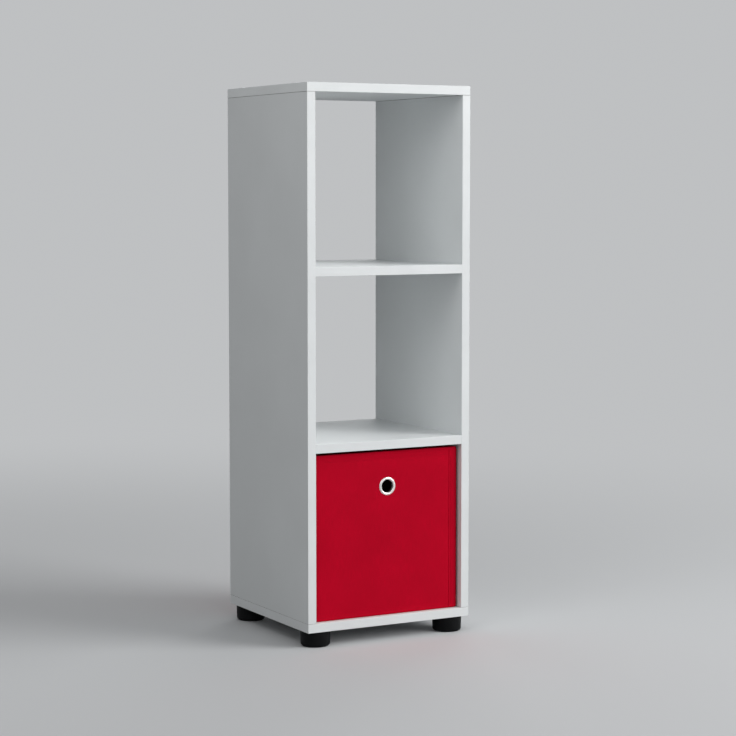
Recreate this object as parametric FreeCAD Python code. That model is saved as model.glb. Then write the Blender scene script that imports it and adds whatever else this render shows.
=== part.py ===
import FreeCAD, Part
import math
import os

from FreeCAD import Placement, Rotation, Vector

# Open-backed bathroom shelf cabinet on four round feet, with a fabric storage box in its lowest bay.
# Frame: millimetres, +Z up, origin on the floor under the middle of the carcass.
# The front faces -Y, and +X is to the right of someone who looks at the front.

# Carcass: faced chipboard, banded on the edges that show
WIDTH = 308.0
DEPTH = 298.0
BOARD = 15.0
BAND = 0.8
BAND_ROUND_SHARE = 0.6
LOWER_BAY = 281.0
MIDDLE_BAY = 274.0
UPPER_BAY = 283.0

# Fits shared by everything that sits in a hole
FIT = 0.05
END_PLAY = 0.5
OVERRUN = 1.0

# Feet: hollow moulded cups, each held by one screw through its middle
FOOT_DIAMETER = 50.0
FOOT_TAPER = 0.6
FOOT_HEIGHT = 26.5
FOOT_ROUND = 5.0
FOOT_EDGE_GAP = 2.0
FOOT_WALL = 2.5
FOOT_FLOOR = 3.0
FOOT_BOSS_WALL = 2.2
FOOT_CLAMP = 11.0
FOOT_RIB = 1.8
FOOT_RIB_COUNT = 6
FOOT_SCREW_SHANK = 4.0
FOOT_SCREW_HEAD_RIM = 2.0
FOOT_SCREW_HEAD_HEIGHT = 2.6
FOOT_SCREW_TIP = 3.0
FOOT_SCREW_SKIN = 4.0
FOOT_SCREW_WELL_GAP = 0.75
FOOT_SCREW_BORE_GAP = 0.2
DRIVE_SLOT_WIDTH = 1.2
DRIVE_SLOT_DEPTH = 1.4
DRIVE_SLOT_LENGTH_SHARE = 0.62

# Connector screws that hold the top and the bottom to the ends of the sides
SCREW_LENGTH = 50.0
SCREW_SHANK = 7.0
SCREW_CORE = 5.0
SCREW_HEAD_RIM = 1.5
SCREW_TIP = 3.0
SOCKET_FLATS = 4.0
SOCKET_DEPTH = 2.5
TOP_SCREW_INSET = 50.0
BOTTOM_SCREW_FROM_FOOT = 20.0
CAP_OVERLAP = 1.5
CAP_THICKNESS = 1.0
CAP_ROUND_SHARE = 0.6

# Wooden dowels that place every panel before it is tightened
DOWEL_DIAMETER = 8.0
DOWEL_LENGTH = 30.0
DOWEL_CHAMFER = 1.0
DOWEL_SKIN = 4.5
DOWEL_PLACE_SHARE = 0.5

# Cam fittings that hold the shelves: cams bored into the underside, bolts screwed into the sides
CAM_DIAMETER = 15.0
CAM_SKIN = 2.5
CAM_SETBACK = 24.0
CAM_INSET = 50.0
CAM_SLOT_WIDTH = 1.4
CAM_SLOT_DEPTH = 2.0
CAM_SLOT_LENGTH_SHARE = 0.6
BOLT_THREAD = 5.0
BOLT_SKIN = 4.0
BOLT_COLLAR_RIM = 1.0
BOLT_COLLAR_LENGTH = 2.0
BOLT_NECK = 4.0
BOLT_NECK_LENGTH = 5.0
BOLT_HEAD_RIM = 1.4
BOLT_HEAD_LENGTH = 3.6
BOLT_PLAY = 0.6

# Storage box: cloth over card stiffeners, pulled by a ring in its front
BOX_SIDE_GAP = 3.0
BOX_TOP_GAP = 5.0
BOX_RECESS = 9.5
BOX_REAR_GAP = 8.5
CLOTH = 0.8
STIFFENER = 2.4
LINING_CORNER = 1.0
FOLD_GAP = 4.0
RING_BORE = 21.5
RING_FLANGE = 4.75
RING_CROWN = 1.5
RING_DROP = 58.5
BARREL_WALL = 0.9
WASHER = 0.8
LIP = 0.9
LIP_OVERHANG = 1.6
INSERT_BOARD = 3.0
INSERT_CLEARANCE = 0.7
INSERT_TURN = 25.0

# Levels above the floor, from the feet up
BOTTOM_UNDER = FOOT_HEIGHT
BOTTOM_TOP = BOTTOM_UNDER + BOARD
LOWER_SHELF_UNDER = BOTTOM_TOP + LOWER_BAY
LOWER_SHELF_TOP = LOWER_SHELF_UNDER + BOARD
UPPER_SHELF_UNDER = LOWER_SHELF_TOP + MIDDLE_BAY
UPPER_SHELF_TOP = UPPER_SHELF_UNDER + BOARD
TOP_UNDER = UPPER_SHELF_TOP + UPPER_BAY
TOP_TOP = TOP_UNDER + BOARD

# Planes of the carcass
RIGHT = WIDTH / 2
REAR = DEPTH / 2
FRONT = -REAR
SIDE_INNER = RIGHT - BOARD
SIDE_MIDDLE = RIGHT - BOARD / 2
CORE_REAR = REAR - BAND
EDGE_ROUND = BAND * BAND_ROUND_SHARE

# Places of the feet and of the fixings along the depth
FOOT_RADIUS = FOOT_DIAMETER / 2
FOOT_X = RIGHT - FOOT_EDGE_GAP - FOOT_RADIUS
FOOT_Y = REAR - FOOT_EDGE_GAP - FOOT_RADIUS
TOP_SCREW_Y = REAR - TOP_SCREW_INSET
BOTTOM_SCREW_Y = FOOT_Y - FOOT_RADIUS - BOTTOM_SCREW_FROM_FOOT
CAM_Y = REAR - CAM_INSET
CAM_X = SIDE_INNER - CAM_SETBACK

# Sizes of the fixings that follow from the boards
SCREW_RADIUS = SCREW_SHANK / 2
SCREW_HEAD_RADIUS = SCREW_RADIUS + SCREW_HEAD_RIM
DOWEL_RADIUS = DOWEL_DIAMETER / 2
DOWEL_FACE_HOLE = BOARD - DOWEL_SKIN
DOWEL_IN_FACE = DOWEL_FACE_HOLE - END_PLAY
DOWEL_END_HOLE = DOWEL_LENGTH - DOWEL_IN_FACE + END_PLAY
CAM_RADIUS = CAM_DIAMETER / 2
CAM_HOLE = BOARD - CAM_SKIN
BOLT_THREAD_RADIUS = BOLT_THREAD / 2
BOLT_HEAD_RADIUS = BOLT_NECK / 2 + BOLT_HEAD_RIM
BOLT_BORE_RADIUS = BOLT_HEAD_RADIUS + BOLT_PLAY
BOLT_FACE_HOLE = BOARD - BOLT_SKIN
BOLT_REACH = CAM_SETBACK + BOLT_HEAD_LENGTH / 2
FOOT_SCREW_RADIUS = FOOT_SCREW_SHANK / 2
FOOT_SCREW_HEAD_RADIUS = FOOT_SCREW_RADIUS + FOOT_SCREW_HEAD_RIM
FOOT_SCREW_BITE = BOARD - FOOT_SCREW_SKIN

# Outline of the storage box
BOX_HALF = SIDE_INNER - BOX_SIDE_GAP
BOX_FRONT = FRONT + BOX_RECESS
BOX_REAR = REAR - BOX_REAR_GAP
BOX_MIDDLE = (BOX_FRONT + BOX_REAR) / 2
BOX_BASE = BOTTOM_TOP
BOX_RIM = LOWER_SHELF_UNDER - BOX_TOP_GAP
BOX_WALL = CLOTH + STIFFENER + CLOTH
BOX_CORNER = LINING_CORNER + BOX_WALL
RING_Z = BOX_RIM - RING_DROP
RING_RADIUS = RING_BORE / 2
RING_OUTER_RADIUS = RING_RADIUS + RING_FLANGE
BARREL_RADIUS = RING_RADIUS + BARREL_WALL
WASHER_FACE = BOX_FRONT + BOX_WALL

UP = Vector(0, 0, 1)
DOWN = Vector(0, 0, -1)
BACK = Vector(0, 1, 0)
FORWARD = Vector(0, -1, 0)
SIDES = {"left": -1, "right": 1}
ENDS = {"front": -1, "rear": 1}


# Shapes that many pieces are made from

def block(x0, x1, y0, y1, z0, z1):
    """A rectangular solid between two corners, whose X values come in either order."""
    low, high = min(x0, x1), max(x0, x1)
    return Part.makeBox(high - low, y1 - y0, z1 - z0, Vector(low, y0, z0))


def rod(radius, length, start, direction):
    """A round solid that starts at a point and runs along a direction."""
    return Part.makeCylinder(radius, length, start, direction)


def lathe(edges, start, direction):
    """Turns an outline of (radius, distance) edges about a line, its zero distance at the start."""
    turned = Part.Face(Part.Wire(edges)).revolve(Vector(0, 0, 0), UP, math.degrees(2 * math.pi))
    turned.Placement = Placement(start, Rotation(UP, direction))
    return turned


def outline(points):
    """Straight edges round (radius, distance) points, back to the first."""
    corners = [Vector(radius, 0, distance) for radius, distance in points]
    return [Part.LineSegment(a, b).toShape() for a, b in zip(corners, corners[1:] + corners[:1])]


def hexagon(flats, length, start, direction):
    """A six-sided bar of a given width across its flats."""
    sides = 6
    radius = flats / 2 / math.cos(math.pi / sides)
    turns = [2 * math.pi * k / sides for k in range(sides + 1)]
    points = [Vector(radius * math.cos(t), radius * math.sin(t), 0) for t in turns]
    bar = Part.Face(Part.makePolygon(points)).extrude(Vector(0, 0, length))
    bar.Placement = Placement(start, Rotation(UP, direction))
    return bar


def cross_slot(width, length, depth, start, direction):
    """A driver's cross, cut from a face at the start along the direction."""
    bars = []
    for long_x, long_y in ((length, width), (width, length)):
        corner = Vector(-long_x / 2, -long_y / 2, -OVERRUN)
        bars.append(Part.makeBox(long_x, long_y, depth + OVERRUN, corner))
    cross = bars[0].fuse(bars[1])
    cross.Placement = Placement(start, Rotation(UP, direction))
    return cross


def is_upright(edge):
    """Whether a straight edge stands along Z."""
    heading = edge.tangentAt(edge.FirstParameter)
    return abs(heading.z) > abs(heading.x) + abs(heading.y)


def upright_tube(inset, thickness, z0, z1):
    """A four-walled tube of the storage box's outline, drawn in by an inset, with round corners."""
    return box_prism(inset, z0, z1).cut(box_prism(inset + thickness, z0 - OVERRUN, z1 + OVERRUN))


def box_prism(inset, z0, z1):
    """A solid of the storage box's outline, drawn in by an inset, with round corners."""
    solid = block(-BOX_HALF + inset, BOX_HALF - inset, BOX_FRONT + inset, BOX_REAR - inset, z0, z1)
    return solid.makeFillet(BOX_CORNER - inset, [e for e in solid.Edges if is_upright(e)])


# Edge bands

def edges_toward(solid, way):
    """The edges of the face that lies furthest along a direction, shortest first."""
    face = max(solid.Faces, key=lambda f: f.CenterOfMass.dot(way))
    return sorted(face.Edges, key=lambda e: e.Length)


def band(x0, x1, y0, y1, z0, z1, outward, ends_shown=()):
    """A thin strip whose outer long edges are eased, and so are its end edges on the faces that show them."""
    strip = block(x0, x1, y0, y1, z0, z1)
    eased = edges_toward(strip, outward)[2:]
    for way in ends_shown:
        eased += edges_toward(strip, way)[:2]
    return strip.makeFillet(EDGE_ROUND, eased)


def end_bands(x0, x1, z0, z1, ends_shown):
    """Front and rear bands between x0 and x1. The faces that show eased ends are named for the front one."""
    strips = []
    for turn in ENDS.values():
        outward = Vector(0, turn, 0)
        edge = sorted((turn * REAR, turn * CORE_REAR))
        shown = [Vector(way.x, -turn * way.y, 0) for way in ends_shown]
        strips.append(band(x0, x1, edge[0], edge[1], z0, z1, outward, shown))
    return strips


def shelf_bands(under):
    """Front and rear bands of a shelf, whose ends the sides hide."""
    return Part.makeCompound(end_bands(-SIDE_INNER, SIDE_INNER, under, under + BOARD, []))


def side_bands(turn):
    """Front and rear bands of a side, eased where the top and the bottom cover their ends."""
    shown = [FORWARD, Vector(turn, 0, 0)]
    return Part.makeCompound(end_bands(turn * SIDE_INNER, turn * RIGHT, BOTTOM_TOP, TOP_UNDER, shown))


def cover_bands(z0, z1):
    """Bands right round a top or bottom panel: front and rear run the full width."""
    strips = end_bands(-RIGHT, RIGHT, z0, z1, [FORWARD])
    for turn in SIDES.values():
        edge = (turn * RIGHT, turn * (RIGHT - BAND))
        strips.append(band(edge[0], edge[1], -CORE_REAR, CORE_REAR, z0, z1, Vector(turn, 0, 0)))
    return Part.makeCompound(strips)


# Places where the fixings sit

def mirrored_places(x, y):
    """The four places that mirror one another about the middle of the carcass."""
    return [(turn_x * x, turn_y * y) for turn_x in SIDES.values() for turn_y in ENDS.values()]


def dowel_places(screw_y):
    """The four dowel places of a panel, nearer the middle than its screws."""
    return mirrored_places(SIDE_MIDDLE, screw_y * DOWEL_PLACE_SHARE)


# Connector screws and their caps

def screw_profile(extra):
    """Outline of a countersunk connector screw, or of its hole with something extra all round."""
    head_height = SCREW_HEAD_RIM
    core = SCREW_CORE / 2 + extra
    tip = SCREW_LENGTH + (END_PLAY if extra else 0)
    return [
        (0, 0),
        (SCREW_HEAD_RADIUS + extra, 0),
        (SCREW_RADIUS + extra, head_height),
        (SCREW_RADIUS + extra, BOARD),
        (core, BOARD),
        (core, tip - SCREW_TIP),
        (core / 2, tip),
        (0, tip),
    ]


def connector_screw(place, level, direction):
    """One connector screw with its hex socket, its head flush at the level."""
    start = Vector(place[0], place[1], level)
    socket = hexagon(SOCKET_FLATS, SOCKET_DEPTH + OVERRUN, start - direction * OVERRUN, direction)
    return lathe(outline(screw_profile(0)), start, direction).cut(socket)


def connector_hole(place, level, direction):
    """The stepped hole that a connector screw sits in."""
    return lathe(outline(screw_profile(FIT)), Vector(place[0], place[1], level), direction)


def screw_cap(place):
    """A plastic cap over a screw head, with a stem that plugs into the hex socket."""
    radius = SCREW_HEAD_RADIUS + CAP_OVERLAP
    start = Vector(place[0], place[1], TOP_TOP)
    disc = rod(radius, CAP_THICKNESS, start, UP)
    rim = [e for e in disc.Edges if e.Closed and e.CenterOfMass.z > TOP_TOP + CAP_THICKNESS / 2]
    disc = disc.makeFillet(CAP_THICKNESS * CAP_ROUND_SHARE, rim)
    stem = hexagon(SOCKET_FLATS - FIT - FIT, SOCKET_DEPTH - END_PLAY, start, DOWN)
    return disc.fuse(stem).removeSplitter()


# Wooden dowels

def dowel(middle_of_face, direction):
    """One dowel that stands DOWEL_IN_FACE deep in a board's face and runs on along the direction."""
    start = middle_of_face - direction * DOWEL_IN_FACE
    pin = rod(DOWEL_RADIUS, DOWEL_LENGTH, start, direction)
    return pin.makeChamfer(DOWEL_CHAMFER, [e for e in pin.Edges if e.Closed])


def dowel_hole(middle_of_face, direction):
    """The hole for one dowel, through a joint: short into the face, deep into the board end."""
    start = middle_of_face - direction * DOWEL_FACE_HOLE
    return rod(DOWEL_RADIUS + FIT, DOWEL_FACE_HOLE + DOWEL_END_HOLE, start, direction)


# Cam fittings

def cam(x, y, under, toward_side):
    """A cam that lies flush in a shelf's underside, bored for the bolt's head and slotted for a driver."""
    start = Vector(x, y, under)
    body = rod(CAM_RADIUS - FIT, CAM_HOLE - END_PLAY, start, UP)
    tunnel_start = Vector(x - toward_side * BOLT_HEAD_LENGTH, y, under + BOARD / 2)
    tunnel = rod(BOLT_BORE_RADIUS, CAM_RADIUS + BOLT_HEAD_LENGTH, tunnel_start, Vector(toward_side, 0, 0))
    slot = cross_slot(CAM_SLOT_WIDTH, CAM_DIAMETER * CAM_SLOT_LENGTH_SHARE, CAM_SLOT_DEPTH, start, UP)
    return body.cut([tunnel, slot])


def cam_bolt(y, under, toward_side):
    """A bolt whose thread is in a side panel and whose round head sits in the cam."""
    thread = BOLT_FACE_HOLE - END_PLAY
    neck = BOLT_NECK / 2
    collar = BOLT_THREAD_RADIUS + BOLT_COLLAR_RIM
    neck_start = BOLT_REACH - BOLT_HEAD_LENGTH - BOLT_NECK_LENGTH
    profile = [
        (0, -thread),
        (BOLT_THREAD_RADIUS, -thread),
        (BOLT_THREAD_RADIUS, 0),
        (collar, 0),
        (collar, BOLT_COLLAR_LENGTH),
        (BOLT_THREAD_RADIUS, BOLT_COLLAR_LENGTH),
        (BOLT_THREAD_RADIUS, neck_start),
        (neck, neck_start),
        (neck, BOLT_REACH - BOLT_HEAD_LENGTH),
        (BOLT_HEAD_RADIUS, BOLT_REACH - BOLT_HEAD_LENGTH / 2),
        (neck, BOLT_REACH),
        (0, BOLT_REACH),
    ]
    start = Vector(toward_side * SIDE_INNER, y, under + BOARD / 2)
    return lathe(outline(profile), start, Vector(-toward_side, 0, 0))


def shelf_fixings(under):
    """Cams, bolts and dowels of one shelf, each kind as a group of separate solids."""
    cams, bolts, dowels = [], [], []
    for turn in SIDES.values():
        inward = Vector(-turn, 0, 0)
        for end in ENDS.values():
            cams.append(cam(turn * CAM_X, end * CAM_Y, under, turn))
            bolts.append(cam_bolt(end * CAM_Y, under, turn))
            dowel_y = end * CAM_Y * DOWEL_PLACE_SHARE
            dowels.append(dowel(Vector(turn * SIDE_INNER, dowel_y, under + BOARD / 2), inward))
    return Part.makeCompound(cams), Part.makeCompound(bolts), Part.makeCompound(dowels)


def shelf_holes(under):
    """Everything drilled for one shelf's fixings, in the shelf and in both sides."""
    holes = []
    for turn in SIDES.values():
        inward = Vector(-turn, 0, 0)
        for end in ENDS.values():
            face = Vector(turn * SIDE_INNER, end * CAM_Y, under + BOARD / 2)
            cam_start = Vector(turn * CAM_X, end * CAM_Y, under - OVERRUN)
            holes.append(rod(CAM_RADIUS, CAM_HOLE + OVERRUN, cam_start, UP))
            holes.append(rod(BOLT_BORE_RADIUS, BOLT_REACH + END_PLAY, face, inward))
            holes.append(rod(BOLT_THREAD_RADIUS + FIT, BOLT_FACE_HOLE, face, -inward))
            dowel_face = Vector(turn * SIDE_INNER, end * CAM_Y * DOWEL_PLACE_SHARE, under + BOARD / 2)
            holes.append(dowel_hole(dowel_face, inward))
    return holes


# Panels

def top_panel():
    """The lid of the carcass, drilled through for four screws and from below for four dowels."""
    core = block(-RIGHT + BAND, RIGHT - BAND, -CORE_REAR, CORE_REAR, TOP_UNDER, TOP_TOP)
    return core.cut(top_holes())


def top_holes():
    """Screw and dowel holes where the top meets the sides."""
    screws = [connector_hole(p, TOP_TOP, DOWN) for p in mirrored_places(SIDE_MIDDLE, TOP_SCREW_Y)]
    return screws + [dowel_hole(Vector(x, y, TOP_UNDER), DOWN) for x, y in dowel_places(TOP_SCREW_Y)]


def bottom_panel():
    """The floor of the carcass, drilled from below for the side screws and for the feet."""
    core = block(-RIGHT + BAND, RIGHT - BAND, -CORE_REAR, CORE_REAR, BOTTOM_UNDER, BOTTOM_TOP)
    return core.cut(bottom_holes() + foot_pilot_holes())


def bottom_holes():
    """Screw and dowel holes where the bottom meets the sides."""
    screws = [connector_hole(p, BOTTOM_UNDER, UP) for p in mirrored_places(SIDE_MIDDLE, BOTTOM_SCREW_Y)]
    return screws + [dowel_hole(Vector(x, y, BOTTOM_TOP), UP) for x, y in dowel_places(BOTTOM_SCREW_Y)]


def foot_pilot_holes():
    """Holes in the bottom panel for the feet's screws."""
    depth = FOOT_SCREW_BITE + END_PLAY
    radius = FOOT_SCREW_RADIUS + FIT
    return [rod(radius, depth, Vector(x, y, BOTTOM_UNDER), UP) for x, y in mirrored_places(FOOT_X, FOOT_Y)]


def side_panel(turn):
    """A side that stands on the bottom and carries the top, eased at both ends, drilled for both shelves."""
    core = block(turn * SIDE_INNER, turn * RIGHT, -CORE_REAR, CORE_REAR, BOTTOM_TOP, TOP_UNDER)
    core = core.makeFillet(EDGE_ROUND, edges_toward(core, Vector(turn, 0, 0))[:2])
    shelves = shelf_holes(LOWER_SHELF_UNDER) + shelf_holes(UPPER_SHELF_UNDER)
    return core.cut(top_holes() + bottom_holes() + shelves)


def shelf(under):
    """A shelf between the sides."""
    core = block(-SIDE_INNER, SIDE_INNER, -CORE_REAR, CORE_REAR, under, under + BOARD)
    return core.cut(shelf_holes(under))


# Feet

def foot(x, y):
    """A round cup, open towards the cabinet, with a ribbed boss for its screw."""
    bottom_radius = FOOT_RADIUS - FOOT_TAPER
    well_radius = FOOT_SCREW_HEAD_RADIUS + FOOT_SCREW_WELL_GAP
    boss_radius = well_radius + FOOT_BOSS_WALL
    cavity_radius = FOOT_RADIUS - FOOT_TAPER - FOOT_WALL
    cavity_height = FOOT_HEIGHT - FOOT_FLOOR
    middle = Vector(x, y, 0)
    flank = [(0, 0), (bottom_radius, 0), (FOOT_RADIUS, FOOT_HEIGHT), (0, FOOT_HEIGHT)]
    outer = lathe(outline(flank), middle, UP)
    lower_rim = [e for e in outer.Edges if e.Closed and e.CenterOfMass.z < FOOT_HEIGHT / 2]
    outer = outer.makeFillet(FOOT_ROUND, lower_rim)
    cavity = rod(cavity_radius, cavity_height + OVERRUN, Vector(x, y, FOOT_FLOOR), UP)
    boss = rod(boss_radius, cavity_height, Vector(x, y, FOOT_FLOOR), UP)
    cup = outer.cut(cavity).fuse([boss] + foot_ribs(middle, boss_radius, cavity_radius))
    well = rod(well_radius, FOOT_HEIGHT - FOOT_CLAMP + OVERRUN, Vector(x, y, -OVERRUN), UP)
    bore = rod(FOOT_SCREW_RADIUS + FOOT_SCREW_BORE_GAP, FOOT_HEIGHT + OVERRUN, middle, UP)
    return cup.cut([well, bore]).removeSplitter()


def foot_ribs(middle, boss_radius, cavity_radius):
    """Upright ribs between a foot's boss and its wall."""
    ribs = []
    inner = boss_radius - FOOT_BOSS_WALL / 2
    length = cavity_radius + FOOT_WALL / 2 - inner
    for k in range(FOOT_RIB_COUNT):
        corner = Vector(inner, -FOOT_RIB / 2, FOOT_FLOOR)
        rib = Part.makeBox(length, FOOT_RIB, FOOT_HEIGHT - FOOT_FLOOR, corner)
        rib.Placement = Placement(middle, Rotation(UP, math.degrees(2 * math.pi * k / FOOT_RIB_COUNT)))
        ribs.append(rib)
    return ribs


def foot_screw(x, y):
    """A pan-head screw that draws one foot against the bottom panel."""
    seat = FOOT_HEIGHT - FOOT_CLAMP
    shank_end = FOOT_SCREW_HEAD_HEIGHT + FOOT_CLAMP + FOOT_SCREW_BITE
    crown = FOOT_SCREW_HEAD_RADIUS - FOOT_SCREW_HEAD_RIM / 2
    profile = [
        (0, 0),
        (crown, 0),
        (FOOT_SCREW_HEAD_RADIUS, FOOT_SCREW_HEAD_HEIGHT / 2),
        (FOOT_SCREW_HEAD_RADIUS, FOOT_SCREW_HEAD_HEIGHT),
        (FOOT_SCREW_RADIUS, FOOT_SCREW_HEAD_HEIGHT),
        (FOOT_SCREW_RADIUS, shank_end - FOOT_SCREW_TIP),
        (0, shank_end),
    ]
    start = Vector(x, y, seat - FOOT_SCREW_HEAD_HEIGHT)
    slot_length = 2 * FOOT_SCREW_HEAD_RADIUS * DRIVE_SLOT_LENGTH_SHARE
    slot = cross_slot(DRIVE_SLOT_WIDTH, slot_length, DRIVE_SLOT_DEPTH, start, UP)
    return lathe(outline(profile), start, UP).cut(slot)


# Storage box

def ring_hole():
    """The round hole through the box's front wall for the ring's barrel."""
    start = Vector(0, BOX_FRONT - OVERRUN, RING_Z)
    return rod(BARREL_RADIUS + FIT, BOX_WALL + OVERRUN + OVERRUN, start, BACK)


def box_cover():
    """Outer cloth: four walls whose upper edge is turned in over the stiffeners."""
    walls = upright_tube(0, CLOTH, BOX_BASE, BOX_RIM - CLOTH)
    hem = upright_tube(0, BOX_WALL, BOX_RIM - CLOTH, BOX_RIM)
    return walls.fuse(hem).removeSplitter().cut(ring_hole())


def box_lining():
    """Inner cloth: four walls behind the stiffeners, sewn under the turned edge."""
    lining = upright_tube(CLOTH + STIFFENER, CLOTH, BOX_BASE + CLOTH, BOX_RIM - CLOTH)
    return lining.cut(ring_hole())


def box_bottom_cloth():
    """The cloth bottom, sewn to the foot of the walls."""
    return box_prism(CLOTH, BOX_BASE, BOX_BASE + CLOTH)


def box_stiffener(x0, x1, y0, y1):
    """A card board that stands between the outer cloth and the lining."""
    return block(x0, x1, y0, y1, BOX_BASE + CLOTH, BOX_RIM - CLOTH)


def box_end_board(end):
    """The stiffener of the front or rear wall, as wide as the corners leave room for."""
    reach = BOX_HALF - BOX_CORNER
    if end < 0:
        return box_stiffener(-reach, reach, BOX_FRONT + CLOTH, BOX_FRONT + CLOTH + STIFFENER).cut(ring_hole())
    return box_stiffener(-reach, reach, BOX_REAR - CLOTH - STIFFENER, BOX_REAR - CLOTH)


def box_side_board(turn, end):
    """Half of a side wall's stiffener: each side has two, with a fold line between them."""
    outer = turn * (BOX_HALF - CLOTH)
    inner = turn * (BOX_HALF - CLOTH - STIFFENER)
    if end < 0:
        return box_stiffener(outer, inner, BOX_FRONT + BOX_CORNER, BOX_MIDDLE - FOLD_GAP / 2)
    return box_stiffener(outer, inner, BOX_MIDDLE + FOLD_GAP / 2, BOX_REAR - BOX_CORNER)


def pull_ring():
    """The eyelet: a crowned flange in front, a barrel through the wall and a rolled lip behind."""
    crown_radius = (RING_RADIUS + RING_OUTER_RADIUS) / 2
    lip_radius = BARREL_RADIUS + LIP_OVERHANG
    lip_start = BOX_WALL + WASHER
    lip_end = lip_start + LIP
    inner_rim = Vector(RING_RADIUS, 0, 0)
    outer_rim = Vector(RING_OUTER_RADIUS, 0, 0)
    crown = Part.Arc(inner_rim, Vector(crown_radius, 0, -RING_CROWN), outer_rim)
    corners = [
        outer_rim,
        Vector(BARREL_RADIUS, 0, 0),
        Vector(BARREL_RADIUS, 0, lip_start),
        Vector(lip_radius, 0, lip_start),
    ]
    roll = Part.Arc(
        Vector(lip_radius, 0, lip_start),
        Vector(lip_radius - LIP / 2, 0, lip_end - LIP / 4),
        Vector(BARREL_RADIUS, 0, lip_end),
    )
    inside = [Vector(BARREL_RADIUS, 0, lip_end), Vector(RING_RADIUS, 0, lip_end), inner_rim]
    edges = [crown.toShape()]
    edges += [Part.LineSegment(a, b).toShape() for a, b in zip(corners, corners[1:])]
    edges.append(roll.toShape())
    edges += [Part.LineSegment(a, b).toShape() for a, b in zip(inside, inside[1:])]
    return lathe(edges, Vector(0, BOX_FRONT, RING_Z), BACK)


def pull_ring_washer():
    """The flat washer that the ring's lip is rolled over, inside the box."""
    start = Vector(0, WASHER_FACE, RING_Z)
    disc = rod(RING_OUTER_RADIUS, WASHER, start, BACK)
    return disc.cut(rod(BARREL_RADIUS + FIT, WASHER + OVERRUN, start, BACK))


def insert_block(inset, z0, z1):
    """A flat block in the box's inside, clear of the walls and of the ring's lip."""
    gap = BOX_WALL + WASHER + LIP + INSERT_CLEARANCE + inset
    return block(-BOX_HALF + gap, BOX_HALF - gap, BOX_FRONT + gap, BOX_REAR - gap, z0, z1)


def insert_board():
    """The loose card floor of the storage box."""
    start = BOX_BASE + CLOTH + CLOTH
    return insert_block(CLOTH, start, start + INSERT_BOARD)


def insert_cover():
    """Cloth round the card floor, turned under along its edges."""
    start = BOX_BASE + CLOTH
    wrap = insert_block(0, start, start + CLOTH + INSERT_BOARD + CLOTH)
    window = insert_block(INSERT_TURN, start - OVERRUN, start + CLOTH + OVERRUN)
    return wrap.cut([insert_board(), window])


# All pieces by name

def panel_nodes():
    """Boards and their edge bands."""
    nodes = {
        "top_panel": top_panel(),
        "bottom_panel": bottom_panel(),
        "upper_shelf": shelf(UPPER_SHELF_UNDER),
        "lower_shelf": shelf(LOWER_SHELF_UNDER),
        "top_panel_edge_bands": cover_bands(TOP_UNDER, TOP_TOP),
        "bottom_panel_edge_bands": cover_bands(BOTTOM_UNDER, BOTTOM_TOP),
        "upper_shelf_edge_bands": shelf_bands(UPPER_SHELF_UNDER),
        "lower_shelf_edge_bands": shelf_bands(LOWER_SHELF_UNDER),
    }
    for side, turn in SIDES.items():
        nodes[f"{side}_side"] = side_panel(turn)
        nodes[f"{side}_side_edge_bands"] = side_bands(turn)
    return nodes


def fixing_nodes():
    """Screws, caps, dowels and cam fittings."""
    top_places = mirrored_places(SIDE_MIDDLE, TOP_SCREW_Y)
    bottom_places = mirrored_places(SIDE_MIDDLE, BOTTOM_SCREW_Y)
    top_screws = [connector_screw(p, TOP_TOP, DOWN) for p in top_places]
    bottom_screws = [connector_screw(p, BOTTOM_UNDER, UP) for p in bottom_places]
    top_dowels = [dowel(Vector(x, y, TOP_UNDER), DOWN) for x, y in dowel_places(TOP_SCREW_Y)]
    bottom_dowels = [dowel(Vector(x, y, BOTTOM_TOP), UP) for x, y in dowel_places(BOTTOM_SCREW_Y)]
    nodes = {
        "top_connector_screws": Part.makeCompound(top_screws),
        "top_screw_caps": Part.makeCompound([screw_cap(p) for p in top_places]),
        "bottom_connector_screws": Part.makeCompound(bottom_screws),
        "top_dowels": Part.makeCompound(top_dowels),
        "bottom_dowels": Part.makeCompound(bottom_dowels),
    }
    for name, under in (("upper_shelf", UPPER_SHELF_UNDER), ("lower_shelf", LOWER_SHELF_UNDER)):
        cams, bolts, dowels = shelf_fixings(under)
        nodes[f"{name}_cams"] = cams
        nodes[f"{name}_cam_bolts"] = bolts
        nodes[f"{name}_dowels"] = dowels
    return nodes


def foot_nodes():
    """Four feet, and their screws as a group."""
    nodes = {}
    for side, turn in SIDES.items():
        for end, depth_turn in ENDS.items():
            nodes[f"{end}_{side}_foot"] = foot(turn * FOOT_X, depth_turn * FOOT_Y)
    nodes["foot_screws"] = Part.makeCompound([foot_screw(x, y) for x, y in mirrored_places(FOOT_X, FOOT_Y)])
    return nodes


def storage_box_nodes():
    """The cloth box, its stiffeners, its pull ring and its loose floor."""
    nodes = {
        "box_cover": box_cover(),
        "box_lining": box_lining(),
        "box_bottom_cloth": box_bottom_cloth(),
        "pull_ring": pull_ring(),
        "pull_ring_washer": pull_ring_washer(),
        "insert_board": insert_board(),
        "insert_cover": insert_cover(),
    }
    for end, turn in ENDS.items():
        nodes[f"box_{end}_board"] = box_end_board(turn)
    for side, turn in SIDES.items():
        for end, depth_turn in ENDS.items():
            nodes[f"box_{side}_{end}_board"] = box_side_board(turn, depth_turn)
    return nodes


def main():
    """Builds every piece and writes each to its own file."""
    os.makedirs("parts", exist_ok=True)
    nodes = {**panel_nodes(), **fixing_nodes(), **foot_nodes(), **storage_box_nodes()}
    for name, shape in nodes.items():
        shape.exportStep(f"parts/{name}.step")
        print(f"{name}: {len(shape.Solids)} solids, {shape.Volume:.0f} mm3, valid {shape.isValid()}")


main()
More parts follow.
